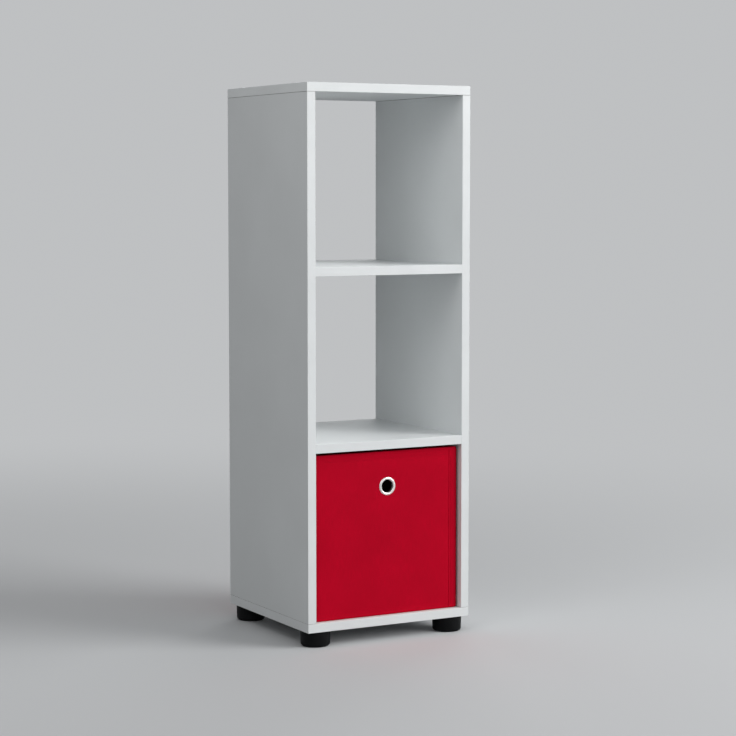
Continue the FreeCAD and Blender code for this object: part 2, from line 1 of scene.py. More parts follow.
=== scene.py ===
"""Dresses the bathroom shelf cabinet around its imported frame.

The boards, edge bands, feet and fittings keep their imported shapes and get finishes. The cloth of the storage
box and of its loose floor insert is modelled here, with its turned hem, its seams and their stitches.
"""

import logging
import math
from contextlib import contextmanager
from dataclasses import dataclass
from enum import Enum
from typing import Callable, Iterator, Sequence

import bmesh
import bpy
from mathutils import Euler, Matrix, Vector, geometry, noise


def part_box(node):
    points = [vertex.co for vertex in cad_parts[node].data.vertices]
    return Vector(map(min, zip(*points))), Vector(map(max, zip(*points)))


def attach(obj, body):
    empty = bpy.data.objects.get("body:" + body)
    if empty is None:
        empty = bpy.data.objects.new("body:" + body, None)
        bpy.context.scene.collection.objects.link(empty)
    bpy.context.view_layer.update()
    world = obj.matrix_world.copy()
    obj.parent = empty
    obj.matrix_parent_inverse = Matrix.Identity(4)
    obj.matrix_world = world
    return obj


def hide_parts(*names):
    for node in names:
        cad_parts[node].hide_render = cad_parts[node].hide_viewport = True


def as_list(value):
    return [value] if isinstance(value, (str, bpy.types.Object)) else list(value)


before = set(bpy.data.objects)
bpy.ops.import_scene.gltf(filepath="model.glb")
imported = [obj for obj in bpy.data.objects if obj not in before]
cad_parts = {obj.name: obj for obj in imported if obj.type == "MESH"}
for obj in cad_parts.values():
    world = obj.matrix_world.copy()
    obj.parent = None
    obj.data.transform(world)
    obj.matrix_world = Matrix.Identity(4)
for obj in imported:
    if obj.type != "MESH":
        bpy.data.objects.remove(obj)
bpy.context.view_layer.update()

MM = 0.001
TINY = 1e-5
LONG_EDGE = 50 * MM
SIDEWAYS = Vector((1.0, 0.0, 0.0))
BACKWARDS = Vector((0.0, 1.0, 0.0))
UP = Vector((0.0, 0.0, 1.0))
# Shares of a normal that make its face square, or lying.
SQUARE = 0.9
LYING = 0.5
WHITE = (1.0, 1.0, 1.0)
MOST_OF_A_NOISE = (0.3, 0.7)

log = logging.getLogger("cabinet")

Colour = tuple[float, float, float]
Span = tuple[float, float]
Names = tuple[str, ...]
Inputs = dict[str | int, object]
Socket = bpy.types.NodeSocket
Material = bpy.types.Material
Test = Callable[[Vector, Vector], bool]
Move = Callable[[Vector, Vector], Vector]


class Run(Enum):
    """Which way an edge band was drawn: its fine lines are long that way. The values scale its pattern."""

    LEVEL = (25.0, 25.0, 1500.0)
    UPRIGHT = (1500.0, 1500.0, 25.0)


class Wall(Enum):
    """The four walls of the storage box, by their outward direction."""

    FRONT = (0.0, -1.0, 0.0)
    REAR = (0.0, 1.0, 0.0)
    LEFT = (-1.0, 0.0, 0.0)
    RIGHT = (1.0, 0.0, 0.0)

    @property
    def outward(self) -> Vector:
        """The direction that the wall faces."""
        return Vector(self.value)


class Part(Enum):
    """What is picked on a mesh."""

    FACE = "FACE"
    EDGE = "EDGE"


def ease(share: float) -> float:
    """A smooth step from 0 to 1."""
    share = min(1.0, max(0.0, share))
    return share * share * (3.0 - 2.0 * share)


def hump(distance: float, width: float) -> float:
    """A bell that is 1 on a line and fades over a width beside it."""
    return math.exp(-((distance / width) ** 2))


def quarter_round(radius: float, strips: int) -> list[Span]:
    """The insets and rises of a quarter round, from an upright face to a level one."""
    turns = [math.pi / 2 * (step + 1) / strips for step in range(strips)]
    return [(radius * (1 - math.cos(turn)), radius * math.sin(turn)) for turn in turns]


class NodeBoard:
    """A tree of shader nodes, and ways to put nodes on it and wire them."""

    def __init__(self, tree: bpy.types.NodeTree) -> None:
        """Work on a tree."""
        self.nodes = tree.nodes
        self.links = tree.links

    def wire(self, node: bpy.types.Node, inputs: Inputs) -> None:
        """Set inputs of a node.

        Args:
            node: the node.
            inputs: for each socket, by its name or number, the socket that feeds it, or its value.
        """
        for name, value in inputs.items():
            socket = node.inputs[name]
            if isinstance(value, Socket):
                self.links.new(value, socket)
            else:
                socket.default_value = (*value, 1.0) if socket.type == "RGBA" else value

    def add(self, kind: str, inputs: Inputs, **settings: object) -> bpy.types.Node:
        """Put a node on the tree.

        Args:
            kind: Blender's name of the node, without the ShaderNode before it.
            inputs: its inputs, as wire takes them.
            settings: its settings.

        Returns:
            The node.
        """
        node = self.nodes.new(f"ShaderNode{kind}")
        for name, value in settings.items():
            setattr(node, name, value)
        self.wire(node, inputs)
        return node

    def reckon(self, operation: str, first: Socket, second: Socket | float = 0.0) -> Socket:
        """One step of arithmetic, by Blender's name of it."""
        return self.add("Math", {0: first, 1: second}, operation=operation).outputs["Value"]

    def spread(self, source: Socket, old: Span, new: Span = (0.0, 1.0), curve: str = "LINEAR") -> Socket:
        """Stretch an old range of numbers to a new one, and hold it at both ends."""
        ends = dict(zip(("From Min", "From Max", "To Min", "To Max"), (*old, *new)))
        return self.add("MapRange", {"Value": source, **ends}, interpolation_type=curve).outputs["Result"]

    def mix(self, share: Socket | float, first: Socket | Colour, second: Socket | Colour,
            way: str = "MIX") -> Socket:
        """Mix a share of a second colour into a first: sockets 7 and 6 of a Mix node, and its output 2."""
        inputs = {"Factor": share, 6: first, 7: second}
        return self.add("Mix", inputs, data_type="RGBA", blend_type=way).outputs[2]

    def seen(self) -> Socket:
        """Tell what the eye, a mirror or a clear piece sees from what only lights.

        Returns:
            1 where the surface is seen, and 0 where it only lights.
        """
        path = self.add("LightPath", {}).outputs
        mirrored = self.reckon("MAXIMUM", path["Is Camera Ray"], path["Is Glossy Ray"])
        return self.reckon("MAXIMUM", mirrored, path["Is Transmission Ray"])


@dataclass(frozen=True)
class Mottle:
    """A soft noise: its blotches in a metre, or in a unit of the UV map where it follows that."""

    scale: float | Colour
    detail: float = 3.0
    mapped: bool = False


class FinishNodes(NodeBoard):
    """The node tree of one finish, with the recipes that the finishes share."""

    def __init__(self, name: str, plain: Inputs) -> None:
        """Start a material.

        Args:
            name: its name.
            plain: the inputs of its shader that are the same all over.
        """
        self.material = bpy.data.materials.new(name)
        self.material.use_nodes = True
        super().__init__(self.material.node_tree)
        self.shader = self.nodes["Principled BSDF"]
        self.wire(self.shader, plain)
        self.own = self.add("TexCoord", {}).outputs
        self.known: dict[Mottle, Socket] = {}

    def scaled(self, scale: float | Colour, mapped: bool) -> Socket:
        """The piece's own coordinates, or its UV map, at a number of repeats in a unit."""
        inputs = {"Vector": self.own["UV" if mapped else "Object"],
                  "Scale": (scale,) * 3 if isinstance(scale, float) else scale}
        return self.add("Mapping", inputs).outputs["Vector"]

    def mottle(self, kind: Mottle) -> Socket:
        """A noise, made once for each kind.

        Args:
            kind: the kind of noise.

        Returns:
            The noise.
        """
        if kind not in self.known:
            inputs = {"Vector": self.scaled(kind.scale, kind.mapped), "Scale": 1.0, "Detail": kind.detail}
            self.known[kind] = self.add("TexNoise", inputs).outputs["Fac"]
        return self.known[kind]

    def tint(self, factor: Socket, dark: Colour, light: Colour) -> Socket:
        """A colour that goes from dark to light as a noise does.

        Args:
            factor: the noise.
            dark: colour in its hollows.
            light: colour on its tops.

        Returns:
            The colour.
        """
        ramp = self.add("ValToRGB", {"Fac": factor})
        low, high = ramp.color_ramp.elements
        low.position, high.position = MOST_OF_A_NOISE
        low.color, high.color = (*dark, 1.0), (*light, 1.0)
        return ramp.outputs["Color"]

    def coat(self, colour: Socket, gloss: tuple[Socket, Span],
             relief: tuple[Socket, float, float]) -> Material:
        """Finish the material.

        Args:
            colour: its colour.
            gloss: the noise that its roughness follows, and the range of the roughness.
            relief: the pattern that stands up, its height in metres, and how much of it shows.

        Returns:
            The material.
        """
        roughness = self.spread(gloss[0], MOST_OF_A_NOISE, gloss[1])
        bump = self.add("Bump", dict(zip(("Height", "Distance", "Strength"), relief))).outputs["Normal"]
        self.wire(self.shader, {"Base Color": colour, "Roughness": roughness, "Normal": bump})
        return self.material


@dataclass(frozen=True, kw_only=True)
class Finish:
    """A finish with a mottled tone, a mottled gloss and a fine raised grain."""

    name: str
    dark: Colour
    light: Colour
    gloss: Span
    grain: Mottle
    depth: float
    strength: float = 0.6
    tone: Mottle | None = None
    sheen: Mottle | None = None
    mirror: float = 0.5
    metal: float = 0.0

    def colour(self, finish: FinishNodes) -> Socket:
        """Its colour, which follows the tone, or else the grain."""
        return finish.tint(finish.mottle(self.tone or self.grain), self.dark, self.light)

    def make(self) -> Material:
        """Mix the finish.

        Returns:
            The material.
        """
        finish = FinishNodes(self.name, {"Metallic": self.metal, "Specular IOR Level": self.mirror})
        sheen = finish.mottle(self.sheen or self.tone or self.grain)
        relief = (finish.mottle(self.grain), self.depth, self.strength)
        return finish.coat(self.colour(finish), (sheen, self.gloss), relief)


@dataclass(frozen=True)
class BoardFinish(Finish):
    """A finish of the white boards. The upright ones show a near-black line in the joints, at their eased
    ends: their raw core, darkened as painted shadow of the joint.
    """

    dark: Colour = (0.762, 0.785, 0.79)
    core_and_joint_shadow: Colour = (0.09, 0.08, 0.07)
    core_and_joint_shadow_width: float = 0.45 * MM
    ends: Span | None = None

    def colour(self, finish: FinishNodes) -> Socket:
        """Its colour, with the core, darkened as painted joint shadow, over it near the ends.

        Args:
            finish: the material under way.

        Returns:
            The colour.
        """
        face = super().colour(finish)
        if not self.ends:
            return face
        low, high = self.ends
        height = finish.add("SeparateXYZ", {"Vector": finish.own["Object"]}).outputs["Z"]
        away = finish.reckon("ABSOLUTE", finish.reckon("SUBTRACT", height, (low + high) / 2))
        # Near each end: the raw core, painted near-black as the shadow in the joint.
        core_and_shadow_line = finish.reckon("GREATER_THAN", away, (high - low) / 2 - self.core_and_joint_shadow_width)
        return finish.mix(core_and_shadow_line, face, self.core_and_joint_shadow)


@dataclass(frozen=True)
class FacedBoard(BoardFinish):
    """White melamine on chipboard: a fine pearl in the gloss, and hardly any colour."""

    light: Colour = (0.796, 0.82, 0.826)
    tone: Mottle = Mottle(7.0)
    sheen: Mottle = Mottle(28.0, 5.0)
    gloss: Span = (0.60, 0.72)
    grain: Mottle = Mottle(1100.0, 2.0)
    depth: float = 0.06 * MM
    strength: float = 0.8
    mirror: float = 0.2


@dataclass(frozen=True)
class EdgeBand(BoardFinish):
    """The white band ironed on a board's edge, with fine drawn lines along it."""

    light: Colour = (0.80, 0.825, 0.831)
    tone: Mottle = Mottle(18.0)
    gloss: Span = (0.30, 0.42)
    depth: float = 0.012 * MM
    strength: float = 0.7


@dataclass(frozen=True)
class MouldedPlastic(Finish):
    """Plastic from a spark-eroded mould: a fine even grain, and a little dust in it."""

    tone: Mottle = Mottle(60.0, 6.0)
    gloss: Span = (0.42, 0.60)
    grain: Mottle = Mottle(1100.0)
    depth: float = 0.12 * MM
    strength: float = 0.8


@dataclass(frozen=True)
class PlatedMetal(Finish):
    """Bright or dull metal, with fine handling scratches and a cloudy gloss."""

    tone: Mottle = Mottle(160.0, 4.0)
    grain: Mottle = Mottle((2500.0, 2500.0, 220.0), 4.0)
    depth: float = 0.01 * MM
    strength: float = 0.5
    metal: float = 1.0


@dataclass(frozen=True)
class Beech(Finish):
    """Turned beech: pale pink-brown wood with short dark flecks."""

    name: str = "dowel_beech_wood"
    dark: Colour = (0.38, 0.21, 0.10)
    light: Colour = (0.58, 0.37, 0.20)
    gloss: Span = (0.65, 0.8)
    grain: Mottle = Mottle((500.0, 500.0, 120.0), 5.0)
    depth: float = 0.08 * MM


@dataclass(frozen=True)
class GreyCard(Finish):
    """Pressed waste-paper card: grey, matt, with fibres and specks."""

    name: str = "pressed_grey_card"
    dark: Colour = (0.20, 0.19, 0.17)
    light: Colour = (0.33, 0.32, 0.29)
    gloss: Span = (0.85, 0.95)
    grain: Mottle = Mottle((900.0, 300.0, 300.0), 6.0)
    depth: float = 0.1 * MM


@dataclass(frozen=True)
class SewingThread(Finish):
    """Twisted red thread, a little brighter than the cloth."""

    name: str = "red_sewing_thread"
    dark: Colour = (0.38, 0.0006, 0.012)
    light: Colour = (0.56, 0.0016, 0.024)
    gloss: Span = (0.6, 0.8)
    grain: Mottle = Mottle(2200.0, 2.0)
    depth: float = 0.08 * MM
    mirror: float = 0.08


@dataclass(frozen=True)
class WovenCloth:
    """Red plain-weave cloth, with painted shade in the hollows between its threads.

    Its pitch is on the UV map that a piece has from its block, about 1.1 m to the unit. The turned strips at
    the edges of the box have no room on it, so their threads are drawn out.
    """

    name: str = "red_woven_cloth"
    hollow_shade: Colour = (0.43, 0.0004, 0.0125)
    crown: Colour = (0.62, 0.0010, 0.0235)
    faded: Colour = (0.90, 0.88, 0.88)
    cloud: Mottle = Mottle(14.0, 4.0)
    slub: Mottle = Mottle((60.0, 1400.0, 1.0), 2.0, mapped=True)
    slub_share: float = 0.5
    weave_share: float = 0.45
    pitch: float = 0.00075
    depth: float = 0.16 * MM
    strength: float = 0.55
    dive: float = 0.45
    gloss: Span = (0.78, 0.92)
    mirror: float = 0.06
    fuzz: float = 0.05
    fuzz_roughness: float = 0.5
    fuzz_tint: Colour = (0.8, 0.06, 0.1)

    def make(self) -> Material:
        """Mix the finish.

        Returns:
            The material.
        """
        plain = {"Specular IOR Level": self.mirror, "Sheen Weight": self.fuzz,
                 "Sheen Roughness": self.fuzz_roughness, "Sheen Tint": self.fuzz_tint}
        finish = FinishNodes(self.name, plain)
        weave = self.weave(finish)
        slubs = finish.mottle(self.slub)
        # Thread colour: painted shade, darker red where the weave dips between threads, plus the slubs' own
        # tone.
        height = finish.reckon("ADD", finish.reckon("MULTIPLY", weave, self.weave_share),
                               finish.reckon("MULTIPLY", slubs, self.slub_share))
        threads = finish.tint(height, self.hollow_shade, self.crown)
        wear = finish.tint(finish.mottle(self.cloud), self.faded, WHITE)
        colour = finish.mix(1.0, threads, wear, "MULTIPLY")
        return finish.coat(colour, (slubs, self.gloss), (weave, self.depth, self.strength))

    def weave(self, finish: FinishNodes) -> Socket:
        """A plain weave: each crossing shows the warp or the weft on top.

        Args:
            finish: the material under way.

        Returns:
            Its height, from 0 between the threads to 1 on their crowns.
        """
        cells = finish.scaled(1.0 / self.pitch, mapped=True)
        split = finish.add("SeparateXYZ", {"Vector": cells}).outputs
        over = finish.add("TexChecker", {"Vector": cells, "Scale": 1.0}).outputs["Fac"]
        waves = [finish.reckon("SINE", finish.reckon("MULTIPLY", split[axis], math.pi)) for axis in "XY"]
        rounds = [finish.reckon("ABSOLUTE", wave) for wave in waves]
        across, lengthwise = (finish.add("Mix", {"Factor": over, "A": first, "B": second}).outputs["Result"]
                              for first, second in (rounds, reversed(rounds)))
        dive = finish.reckon("ADD", finish.reckon("MULTIPLY", lengthwise, self.dive), 1.0 - self.dive)
        return finish.reckon("MULTIPLY", across, dive)


def is_upright(start: Vector, end: Vector) -> bool:
    """Whether an edge stands upright."""
    return (start - end).xy.length < TINY


def is_level(start: Vector, end: Vector) -> bool:
    """Whether an edge is level."""
    return abs(start.z - end.z) < TINY


class Workpiece:
    """A mesh on the bench, and the hand tools that shape it."""

    def __init__(self, thing: bpy.types.Object, name: str) -> None:
        """Take up an object, and name it and its mesh."""
        self.thing = thing
        thing.name = thing.data.name = name

    @classmethod
    def block(cls, name: str, low: Vector, high: Vector) -> "Workpiece":
        """Start a piece as a block, with the UV map that the weave follows.

        Args:
            name: its name.
            low: its lowest corner.
            high: its highest corner.

        Returns:
            The piece.
        """
        bpy.ops.mesh.primitive_cube_add(size=1.0, location=(low + high) / 2)
        piece = cls(bpy.context.object, name)
        piece.thing.scale = high - low
        bpy.ops.object.transform_apply(location=True, rotation=True, scale=True)
        return piece

    def hold(self) -> None:
        """Select this piece alone."""
        bpy.ops.object.select_all(action="DESELECT")
        self.thing.select_set(True)
        bpy.context.view_layer.objects.active = self.thing

    @contextmanager
    def editing(self) -> Iterator[None]:
        """Edit mode on this piece alone."""
        self.hold()
        bpy.ops.object.mode_set(mode="EDIT")
        yield
        bpy.ops.object.mode_set(mode="OBJECT")

    def pick(self, kind: Part, test: Test) -> None:
        """Select some faces or edges alone, in edit mode.

        Args:
            kind: which of them.
            test: whether one is picked, from a face's middle and normal, or an edge's ends.
        """
        bpy.ops.mesh.select_mode(type=kind.value)
        bpy.ops.mesh.select_all(action="DESELECT")
        mesh = bmesh.from_edit_mesh(self.thing.data)
        if kind is Part.FACE:
            facts = {face: (face.calc_center_median(), face.normal) for face in mesh.faces}
        else:
            facts = {edge: (edge.verts[0].co, edge.verts[1].co) for edge in mesh.edges}
        for part, known in facts.items():
            if test(*known):
                part.select_set(True)
        bmesh.update_edit_mesh(self.thing.data)

    def slice(self, way: Vector, distance: float) -> None:
        """Cut new edges all round the piece, where a plane across a direction meets it."""
        bpy.ops.mesh.select_all(action="SELECT")
        bpy.ops.mesh.bisect(plane_co=way * distance, plane_no=way)

    def press(self, move: Move, cloth: float) -> None:
        """Move the points by hand, and then give the cloth its thickness, inwards.

        Args:
            move: the move of a point, from its place and its normal.
            cloth: the thickness.
        """
        points = self.thing.data.vertices
        places = [point.co + move(point.co, point.normal) for point in points]
        for point, place in zip(points, places):
            point.co = place
        self.thing.data.update()
        self.finish_with("SOLIDIFY", thickness=cloth, offset=-1.0, use_even_offset=True)

    def finish_with(self, kind: str, **settings: object) -> None:
        """Add a modifier and apply it.

        Args:
            kind: Blender's name of the modifier.
            settings: its settings.
        """
        self.hold()
        modifier = self.thing.modifiers.new(kind.lower(), kind)
        for name, value in settings.items():
            setattr(modifier, name, value)
        bpy.ops.object.modifier_apply(modifier=modifier.name)

    def smooth(self, degrees: float = 40.0) -> None:
        """Shade the piece smooth, apart from edges sharper than an angle."""
        self.hold()
        bpy.ops.object.shade_smooth_by_angle(angle=math.radians(degrees))

    def dress(self, finish: Material, slot: str, body: str) -> None:
        """Give the finished piece its looks and its place in the model.

        Args:
            finish: its material.
            slot: not used.
            body: the body that it rides on.
        """
        self.thing.data.materials.clear()
        self.thing.data.materials.append(finish)
        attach(self.thing, body)
        log.info("%s: %d faces, on %s", self.thing.name, len(self.thing.data.polygons), body)


def dress_nodes(names: Sequence[str], finish: Finish) -> None:
    """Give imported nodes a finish.

    Args:
        names: the nodes.
        finish: the finish that they share.
    """
    material = finish.make()
    for name in names:
        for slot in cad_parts[name].material_slots:
            slot.material = material
        log.info("%s: %s", name, material.name)


@dataclass(frozen=True)
class Seam:
    """One straight row of stitches on a wall of the box, in a shallow groove."""

    wall: Wall
    start: Vector
    end: Vector
    groove: float

    def gap(self, place: Vector) -> float:
        """How far a point is from the row."""
        share = geometry.intersect_point_line(place, self.start, self.end)[1]
        return (place - self.start.lerp(self.end, min(1.0, max(0.0, share)))).length


@dataclass(frozen=True)
class Stitch:
    """One stitch of thread, and rows of it."""

    length: float = 2.4 * MM
    pitch: float = 3.3 * MM
    thickness: float = 0.55 * MM
    flat: float = 0.75
    sides: int = 6
    end_share: float = 0.3
    sharp: float = 50.0

    def model(self) -> Workpiece:
        """Model one stitch upright, with rounded ends.

        Returns:
            The stitch, about the origin.
        """
        radius = self.thickness / 2
        bpy.ops.mesh.primitive_cylinder_add(vertices=self.sides, radius=radius, depth=self.length)
        stitch = Workpiece(bpy.context.object, "stitch")
        with stitch.editing():
            stitch.pick(Part.EDGE, is_level)
            bpy.ops.mesh.bevel(offset=self.thickness * self.end_share, segments=1, affect="EDGES")
            bpy.ops.mesh.select_all(action="SELECT")
            bpy.ops.transform.resize(value=(1.0, self.flat, 1.0), center_override=(0.0, 0.0, 0.0))
        return stitch

    def row(self, stitch: Workpiece, seam: Seam, lift: float) -> Workpiece:
        """Copy the stitch along a seam.

        Args:
            stitch: the modelled stitch.
            seam: where the row goes.
            lift: how far outside the wall the middles of the stitches are.

        Returns:
            The row, as one piece.
        """
        line = seam.end - seam.start
        way = line.normalized()
        outward = seam.wall.outward
        count = max(1, int(line.length / self.pitch))
        spare = (line.length - (count - 1) * self.pitch) / 2
        turn = Matrix((outward.cross(way), outward, way)).transposed().to_4x4()
        mesh = stitch.thing.data.copy()
        mesh.transform(Matrix.Translation(seam.start + way * spare + outward * lift) @ turn)
        row = Workpiece(bpy.data.objects.new("row", mesh), "row")
        bpy.context.scene.collection.objects.link(row.thing)
        row.finish_with("ARRAY", count=count, use_relative_offset=False, use_constant_offset=True,
                        constant_offset_displace=way * self.pitch)
        return row

    def sew(self, name: str, seams: Sequence[tuple[Seam, float]]) -> Workpiece:
        """Sew rows of stitches.

        Args:
            name: the piece's name.
            seams: each seam, with how far outside its wall the stitches are.

        Returns:
            All the rows, as one piece.
        """
        stitch = self.model()
        rows = [self.row(stitch, seam, lift) for seam, lift in seams]
        bpy.data.objects.remove(stitch.thing)
        rows[0].hold()
        for row in rows:
            row.thing.select_set(True)
        bpy.ops.object.join()
        sewn = Workpiece(bpy.context.object, name)
        sewn.smooth(self.sharp)
        return sewn


@dataclass
class Carcass:
    """The six boards with their bands, the feet and the fixings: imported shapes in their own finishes."""

    upright_boards: Names = ("left_side", "right_side")
    level_boards: Names = ("top_panel", "bottom_panel", "upper_shelf", "lower_shelf")
    fittings: tuple[tuple[Finish, Names], ...] = (
        (MouldedPlastic(name="black_moulded_plastic", dark=(0.003, 0.0033, 0.0037),
                        light=(0.006, 0.0064, 0.007), mirror=0.10),
         ("front_left_foot", "front_right_foot", "rear_left_foot", "rear_right_foot")),
        (MouldedPlastic(name="white_cap_plastic", dark=(0.76, 0.77, 0.775), light=(0.80, 0.81, 0.815)),
         ("top_screw_caps",)),
        (PlatedMetal(name="zinc_plated_steel", dark=(0.55, 0.54, 0.50), light=(0.68, 0.67, 0.63),
                     gloss=(0.25, 0.40)),
         ("top_connector_screws", "bottom_connector_screws", "foot_screws",
          "upper_shelf_cam_bolts", "lower_shelf_cam_bolts")),
        (PlatedMetal(name="cast_zinc", dark=(0.42, 0.43, 0.44), light=(0.55, 0.56, 0.57),
                     gloss=(0.38, 0.52)),
         ("upper_shelf_cams", "lower_shelf_cams")),
        (Beech(), ("top_dowels", "bottom_dowels", "upper_shelf_dowels", "lower_shelf_dowels")))

    def dress(self) -> None:
        """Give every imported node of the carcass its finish."""
        low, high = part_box(self.upright_boards[0])
        self.dress_boards(self.upright_boards, Run.UPRIGHT, (low.z, high.z))
        self.dress_boards(self.level_boards, Run.LEVEL, None)
        for finish, nodes in self.fittings:
            dress_nodes(nodes, finish)

    def dress_boards(self, boards: Names, run: Run, ends: Span | None) -> None:
        """Face boards, and band them along their length.

        Args:
            boards: the boards.
            run: which way their bands were drawn.
            ends: the heights of the ends that show their core, darkened as painted joint shadow.
        """
        lines = Mottle(run.value)
        way = run.name.lower()
        dress_nodes(boards, FacedBoard(name=f"white_melamine_{way}", ends=ends))
        dress_nodes([f"{board}_edge_bands" for board in boards],
                    EdgeBand(name=f"white_edge_band_{way}", ends=ends, sheen=lines, grain=lines))


@dataclass
class StorageBox:
    """The red cloth box: cover, lining, bottom, stitches, card boards and pull ring."""

    cloth: float = 0.8 * MM
    corner: float = 5.0 * MM
    corner_strips: int = 6
    cell: float = 4.0 * MM
    rim_width: float = 4.8 * MM
    rim_round: float = 1.1 * MM
    rim_strips: int = 3
    hem_depth: float = 16.0 * MM
    hem_strips: tuple[float, ...] = (0.4, 0.7, 0.8, 1.0)
    hem_row: float = 12.0 * MM
    base_round: float = 2.4 * MM
    base_strips: int = 3
    base_row: float = 6.0 * MM
    bottom_gap: float = 0.1 * MM
    bottom_row: float = 2.4 * MM
    bottom_edge: float = 0.32 * MM
    bottom_strips: int = 2
    flap_width: float = 16.0 * MM
    flap_lift: float = 0.7 * MM
    flap_step: float = 0.15 * MM
    flap_ease: float = 1.0 * MM
    upright_row: float = 3.2 * MM
    groove: float = 0.35 * MM
    level_groove: float = 0.1 * MM
    groove_width: float = 1.3 * MM
    groove_cuts: tuple[float, ...] = (-2.0, -1.0, 0.0, 1.0, 2.0)
    sunk_share: float = 0.4
    thread_clear: float = 0.1 * MM
    bow: float = 0.5 * MM
    slack: float = 0.35 * MM
    slack_scale: float = 17.0
    edge_reach: float = 30.0 * MM
    seam_reach: float = 14.0 * MM
    ring_reach: float = 16.0 * MM
    pucker: float = 0.16 * MM
    pucker_pitch: float = 15.0 * MM
    pucker_gap: float = 6.0 * MM
    pucker_width: float = 5.0 * MM
    waver: float = 3.0
    waver_scale: float = 30.0
    corner_reach: float = 8.0 * MM
    corner_share: float = 0.2
    corner_turn: float = 0.8
    lining_corner: float = 1.8 * MM
    lining_inset: float = 4.0 * MM
    sag_scale: float = 21.0
    sag_reach: float = 40.0 * MM
    sag_ring_gap: float = 25.0 * MM
    sag_ring_reach: float = 20.0 * MM
    sag_fold_reach: float = 12.0 * MM
    washer_rim: float = 3.7 * MM
    hole_sides: int = 64
    hole_length: float = 16.0 * MM
    stitch: Stitch = Stitch()
    boards: Names = ("box_front_board", "box_rear_board", "box_left_front_board",
                     "box_left_rear_board", "box_right_front_board", "box_right_rear_board")
    card: Finish = GreyCard()
    nickel: Finish = PlatedMetal(name="polished_nickel", dark=(0.88, 0.87, 0.855), light=(0.94, 0.93, 0.915),
                                 gloss=(0.32, 0.42))
    body: str = "storage_box"
    slot: str = "red_cloth"

    def __post_init__(self) -> None:
        """Read the box's place from the frame, and lay out its seams."""
        self.low, self.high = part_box("box_cover")
        self.middle = (self.low + self.high) / 2
        self.half = (self.high - self.low) / 2
        self.lining_low, self.lining_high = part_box("box_lining")
        low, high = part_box("pull_ring")
        self.ring = (low + high) / 2
        self.ring_radius = (high.x - low.x) / 2
        low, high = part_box("pull_ring_washer")
        self.hole = Vector((self.ring.x, self.low.y, self.ring.z))
        self.hole_radius = (high.x - low.x) / 2 - self.washer_rim
        self.hem_line = self.high.z - self.hem_row
        self.base_line = self.low.z + self.base_row
        self.flap_x = self.high.x - self.flap_width
        self.rows = self.seams()

    def build(self, cloth: Material, thread: Material) -> None:
        """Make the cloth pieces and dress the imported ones.

        Args:
            cloth: the finish of the cloth.
            thread: the finish of the stitches.
        """
        dress_nodes(self.boards, self.card)
        dress_nodes(("pull_ring", "pull_ring_washer"), self.nickel)
        cover, lining, bottom = self.cover(), self.lining(), self.bottom()
        for piece, node in ((cover, "box_cover"), (lining, "box_lining"), (bottom, "box_bottom_cloth")):
            piece.dress(cloth, self.slot, self.body)
            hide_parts(node)
        outer, inner = self.sew(thread)
        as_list(self.boards)
        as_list(self.boards)

    def seams(self) -> list[Seam]:
        """Lay out every row of stitches on the outside.

        Returns:
            The hem and base rows of each wall, the two flap rows, and the rows beside the side folds.
        """
        rows = []
        for wall in Wall:
            along = UP.cross(wall.outward)
            reach = along * (abs(along.dot(self.half)) - self.corner)
            out = wall.outward * abs(wall.outward.dot(self.half))
            for height in (self.hem_line, self.base_line):
                centre = Vector((*self.middle.xy, height)) + out
                rows.append(Seam(wall, centre - reach, centre + reach, self.level_groove))
        flap = self.flap_x + self.upright_row
        places = [(Wall.FRONT, flap, self.low.y), (Wall.REAR, -flap, self.high.y)]
        for wall, x in ((Wall.LEFT, self.low.x), (Wall.RIGHT, self.high.x)):
            places += [(wall, x, self.middle.y + side * self.upright_row) for side in (-1, 1)]
        clear = self.stitch.pitch / 2
        for wall, x, y in places:
            ends = [Vector((x, y, height)) for height in (self.base_line + clear, self.hem_line - clear)]
            rows.append(Seam(wall, *ends, self.groove))
        return rows

    def tube(self, name: str, low: Vector, high: Vector, corner: float) -> Workpiece:
        """Start a piece as four walls with rounded corners, in small cells.

        Args:
            name: its name.
            low: its lowest corner.
            high: its highest corner.
            corner: the radius of its upright corners.

        Returns:
            The piece, open at the top and bottom.
        """
        piece = Workpiece.block(name, low, high)
        with piece.editing():
            piece.pick(Part.FACE, lambda middle, normal: abs(normal.z) > SQUARE)
            bpy.ops.mesh.delete(type="ONLY_FACE")
            piece.pick(Part.EDGE, is_upright)
            bpy.ops.mesh.bevel(offset=corner, segments=self.corner_strips, affect="EDGES")
            piece.pick(Part.EDGE, lambda start, end: is_level(start, end)
                       and (start - end).length > LONG_EDGE)
            bpy.ops.mesh.subdivide(number_cuts=round((high.x - low.x) / self.cell))
            piece.pick(Part.EDGE, is_upright)
            bpy.ops.mesh.subdivide(number_cuts=round((high.z - low.z) / self.cell))
        return piece

    def make_up(self, piece: Workpiece, move: Move) -> Workpiece:
        """Press a piece into shape, and cut the hole for the ring's barrel.

        Args:
            piece: the cover or the lining.
            move: how its points settle.

        Returns:
            The piece.
        """
        piece.press(move, self.cloth)
        bpy.ops.mesh.primitive_cylinder_add(vertices=self.hole_sides, radius=self.hole_radius,
                                            depth=self.hole_length, location=self.hole,
                                            rotation=(math.pi / 2, 0.0, 0.0))
        cutter = bpy.context.object
        piece.finish_with("BOOLEAN", operation="DIFFERENCE", solver="EXACT", object=cutter)
        bpy.data.objects.remove(cutter)
        piece.smooth()
        return piece

